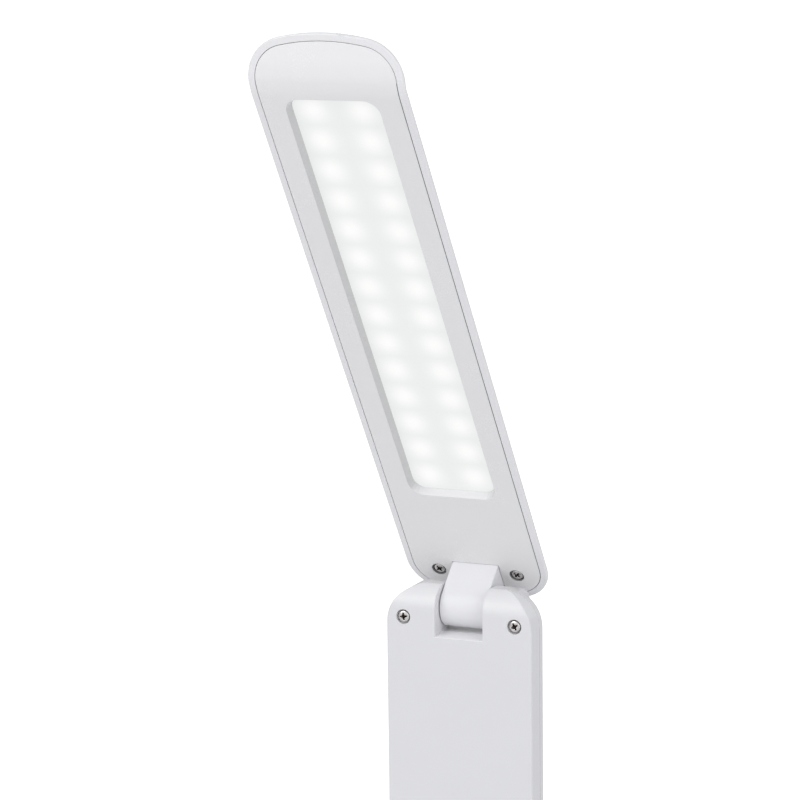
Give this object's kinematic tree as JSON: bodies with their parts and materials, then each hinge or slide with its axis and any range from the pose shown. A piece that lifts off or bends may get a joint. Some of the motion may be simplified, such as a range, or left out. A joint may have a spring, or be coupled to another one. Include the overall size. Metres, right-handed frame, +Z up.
{
  "type": "folding led desk lamp",
  "caption": "Folding LED desk lamp: weighted base, flat upright arm and long slim light head, joined by friction hinges, with a push button.",
  "frame": {"origin": "centre of the anti-slip pad's underside, on the surface the lamp stands on", "axes": "+Z up along the upright arm; the light side faces -Y; +X is to the right seen from the front"},
  "size_m": [0.118, 0.15, 0.5205],
  "materials": {
    "white_plastic": "satin white ABS",
    "button_plastic": "satin pale ABS",
    "grey_plastic": "fine-textured ABS",
    "dark_rubber": "matt",
    "opal_acrylic": "opal, lit from behind",
    "white_board": "white solder mask on aluminium",
    "green_board": "green solder mask",
    "led_package": "phosphor-filled",
    "bare_aluminium": "rolled",
    "plain_steel": "zinc plated",
    "nickel_steel": "nickel plated",
    "nickel_brass": "turned",
    "black_plastic": "moulded",
    "wire_sheath": "smooth PVC"
  },
  "bodies": {
    "base": {"base_top_shell": "white_plastic", "base_bottom_cover": "grey_plastic", "anti_slip_pad": "dark_rubber", "base_screws": "nickel_steel", "base_weight": "plain_steel", "weight_screws": "nickel_steel", "base_knuckle": "white_plastic", "base_knuckle_screws": "nickel_steel", "control_board": "green_board", "control_board_screws": "nickel_steel", "tact_switch": "black_plastic", "dc_jack": "black_plastic", "dc_jack_pin": "nickel_brass", "power_wire": "wire_sheath", "base_wire": "wire_sheath", "lower_friction_pin": "nickel_steel", "lower_hollow_pivot": "nickel_brass", "lower_lock_nut": "nickel_steel", "lower_retaining_clip": "nickel_steel"},
    "arm": {"arm_front_shell": "white_plastic", "arm_rear_shell": "white_plastic", "lower_arm_screws": "nickel_steel", "upper_arm_screws": "nickel_steel", "arm_wire": "wire_sheath", "lower_hinge_bracket": "nickel_steel", "lower_friction_washer": "nickel_steel", "lower_disc_springs": "nickel_steel", "upper_hinge_bracket": "nickel_steel", "upper_friction_washer": "nickel_steel", "upper_disc_springs": "nickel_steel"},
    "head": {"head_top_shell": "white_plastic", "head_bezel": "white_plastic", "head_knuckle": "white_plastic", "diffuser": "opal_acrylic", "led_board": "white_board", "leds": "led_package", "heat_spreader": "bare_aluminium", "head_screws": "nickel_steel", "head_wire": "wire_sheath", "upper_friction_pin": "nickel_steel", "upper_hollow_pivot": "nickel_brass", "upper_lock_nut": "nickel_steel", "upper_retaining_clip": "nickel_steel"},
    "button": {"power_button": "button_plastic", "switch_plunger": "black_plastic"}
  },
  "joints": [
    {"name": "arm_fold", "type": "hinge", "parent": "base", "child": "arm", "pos_m": [0, 0.05, 0.0423], "axis": [1, 0, 0], "range_deg": [0, 90]},
    {"name": "head_tilt", "type": "hinge", "parent": "arm", "child": "head", "pos_m": [0, 0.05, 0.3083], "axis": [1, 0, 0], "range_deg": [-33.8, 146.2]},
    {"name": "power_button", "type": "slide", "parent": "base", "child": "button", "axis": [0, 0, -1], "range_m": [0, 0.0005], "stiffness_N_per_m": 400, "springref_m": -0.002}
  ]
}
